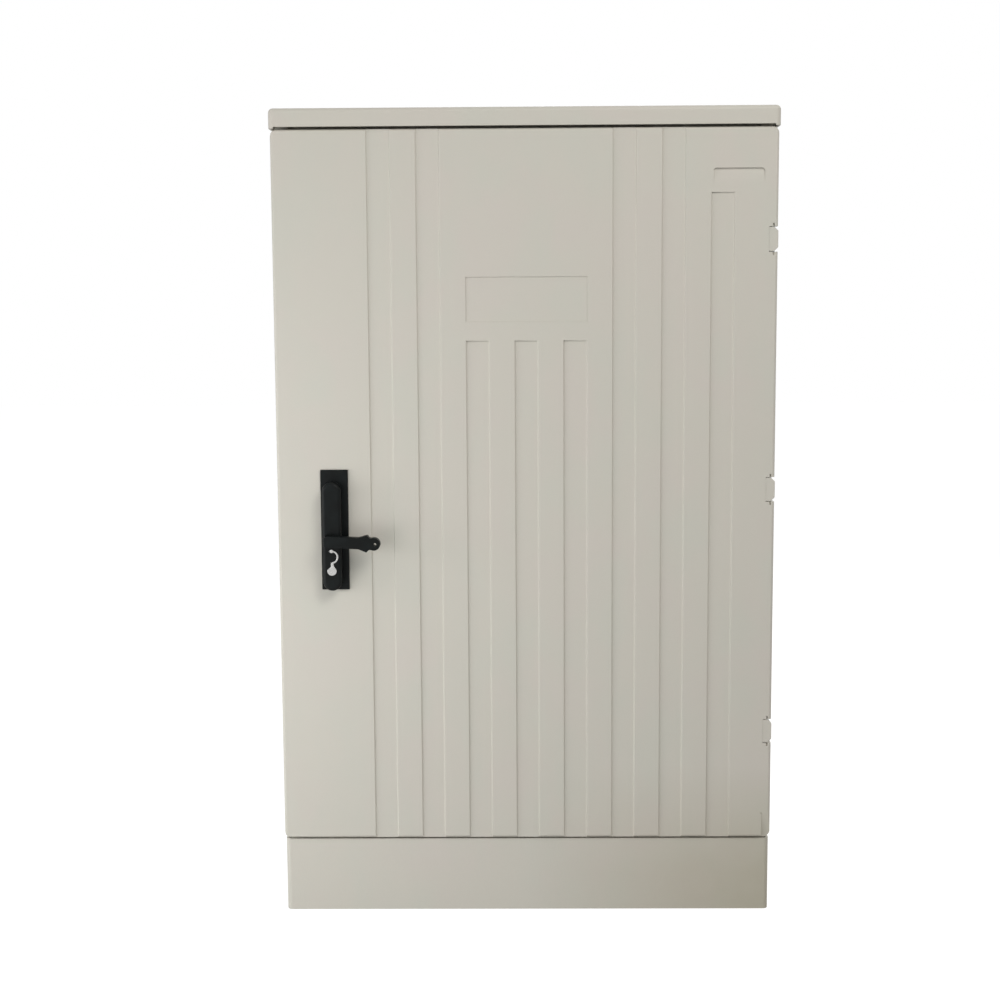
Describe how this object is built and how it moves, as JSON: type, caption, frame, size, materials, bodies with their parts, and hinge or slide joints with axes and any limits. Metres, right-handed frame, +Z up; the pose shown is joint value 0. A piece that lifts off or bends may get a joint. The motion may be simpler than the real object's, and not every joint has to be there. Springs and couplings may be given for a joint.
{
  "type": "floor-standing enclosure",
  "caption": "Tall outdoor distribution cabinet moulded in pale glass-fibre polyester, on a plinth, with a ribbed hinged door, a swing-handle lock with rods and a mounting plate inside.",
  "frame": {"origin": "on the floor, in the middle of the pattern of floor anchor holes under the plinth", "axes": "+Z up, +Y from the door to the rear panel, +X to the right of someone facing the door"},
  "size_m": [0.789, 0.3675, 1.29],
  "materials": {
    "moulded_polyester": "matt",
    "zinc_steel": "satin",
    "lock_steel": "satin",
    "seal_rubber": "matt",
    "black_lock": "satin",
    "guide_nylon": "matt",
    "nickel": "polished"
  },
  "bodies": {
    "cabinet": {"plinth_front_cover": "moulded_polyester", "plinth_rear_cover": "moulded_polyester", "plinth_left_frame": "moulded_polyester", "plinth_right_frame": "moulded_polyester", "plinth_bolts": "zinc_steel", "floor_plate_front": "zinc_steel", "floor_plate_rear": "zinc_steel", "cable_edge_strips": "seal_rubber", "base_bolts": "zinc_steel", "left_side_panel": "moulded_polyester", "right_side_panel": "moulded_polyester", "rear_panel": "moulded_polyester", "top_rail": "moulded_polyester", "bottom_rail": "moulded_polyester", "panel_bolts": "zinc_steel", "rail_bolts": "zinc_steel", "roof": "moulded_polyester", "roof_bolts": "zinc_steel", "mounting_plate": "zinc_steel", "mounting_screws": "zinc_steel", "cable_rail": "zinc_steel", "cable_rail_screws": "zinc_steel", "hinge_block_lower": "moulded_polyester", "hinge_block_middle": "moulded_polyester", "hinge_block_upper": "moulded_polyester", "hinge_pin_lower": "zinc_steel", "hinge_pin_middle": "zinc_steel", "hinge_pin_upper": "zinc_steel", "hinge_screws": "zinc_steel", "strike_plate_upper": "zinc_steel", "strike_plate_lower": "zinc_steel", "strike_screws": "zinc_steel"},
    "door": {"door_panel": "moulded_polyester", "door_seal": "seal_rubber", "lock_plate": "black_lock", "lock_cylinder": "nickel", "cover_rivet": "nickel", "lock_case": "zinc_steel", "lock_case_cover": "zinc_steel", "lock_case_screws": "zinc_steel", "lock_screws": "zinc_steel", "rod_guide_upper": "guide_nylon", "rod_guide_lower": "guide_nylon", "guide_screws": "zinc_steel"},
    "lever": {"lever_handle": "black_lock", "lock_spindle": "lock_steel", "pinion": "lock_steel", "spindle_screw": "lock_steel"},
    "upper_locking_rod": {"upper_rod": "lock_steel"},
    "lower_locking_rod": {"lower_rod": "lock_steel"},
    "dust_cover": {"keyhole_cover": "nickel"},
    "plug": {"key_plug": "nickel"}
  },
  "joints": [
    {"name": "door_hinge", "type": "hinge", "parent": "cabinet", "child": "door", "pos_m": [0.3855, -0.152, 0.6875], "axis": [0, 0, 1], "range_deg": [0, 180]},
    {"name": "lever_turn", "type": "hinge", "parent": "door", "child": "lever", "pos_m": [-0.302, -0.195, 0.612], "axis": [0, -1, 0], "range_deg": [0, 90]},
    {"name": "upper_rod_slide", "type": "slide", "parent": "door", "child": "upper_locking_rod", "axis": [0, 0, 1], "range_m": [0, 0.01885]},
    {"name": "lower_rod_slide", "type": "slide", "parent": "door", "child": "lower_locking_rod", "axis": [0, 0, -1], "range_m": [0, 0.01885]},
    {"name": "cover_swing", "type": "hinge", "parent": "door", "child": "dust_cover", "pos_m": [-0.3053, -0.186, 0.5958], "axis": [0, -1, 0], "range_deg": [0, 60]},
    {"name": "plug_turn", "type": "hinge", "parent": "door", "child": "plug", "pos_m": [-0.305, -0.18, 0.5642], "axis": [0, -1, 0], "range_deg": [0, 90]}
  ],
  "couplings": [
    {"joint": "lever_turn", "follows": "upper_rod_slide", "rad_per_m": 83.333},
    {"joint": "lower_rod_slide", "follows": "upper_rod_slide", "ratio": 1}
  ]
}
